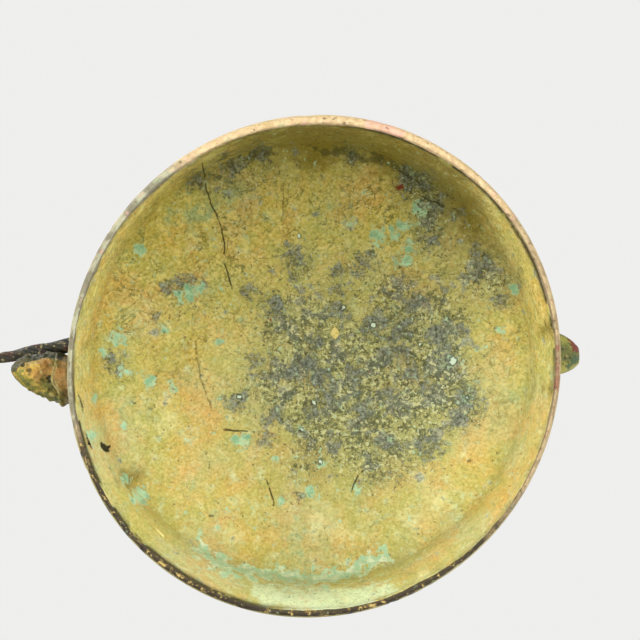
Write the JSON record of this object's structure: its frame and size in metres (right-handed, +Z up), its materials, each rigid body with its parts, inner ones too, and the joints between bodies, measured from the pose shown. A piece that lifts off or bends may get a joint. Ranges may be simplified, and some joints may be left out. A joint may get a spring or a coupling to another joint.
{
  "type": "hanging bronze bell",
  "caption": "Round bronze bell with a domed crown, a two-headed dragon loop, a suspension ring, a beast-head lug with a twisted horn and a strap lug.",
  "frame": {"origin": "the point that the suspension ring hangs from, at the inner top of the ring, on the bell's axis", "axes": "+Z up along the bell's axis, away from the mouth; +X from the beast-head lug towards the strap lug; +Y across, the ring lying in the YZ plane"},
  "size_m": [0.3156, 0.252, 0.2852],
  "materials": {
    "casting_bronze": "cast, patinated ochre and olive with verdigris",
    "loop_bronze": "cast, dark olive patina",
    "ring_bronze": "forged, dark brown patina",
    "lug_bronze": "cast, golden orange patina with green",
    "horn_bronze": "cast, dark reddish brown",
    "strap_bronze": "cast, worn yellow green",
    "chaplet_bronze": "cast, pale yellow"
  },
  "bodies": {
    "ring": {"suspension_ring": "ring_bronze"},
    "bell": {"bell_body": "casting_bronze", "crown_loop": "loop_bronze", "beast_head_lug": "lug_bronze", "beast_head_horn": "horn_bronze", "strap_lug": "strap_bronze", "crown_chaplet": "chaplet_bronze", "skirt_chaplet_1": "chaplet_bronze", "skirt_chaplet_2": "chaplet_bronze", "skirt_chaplet_3": "chaplet_bronze", "skirt_chaplet_4": "chaplet_bronze"}
  },
  "joints": [
    {"name": "bell_swing", "type": "hinge", "parent": "ring", "child": "bell", "pos_m": [0, 0, -0.0337], "axis": [1, 0, 0], "range_deg": [-40, 40]}
  ]
}
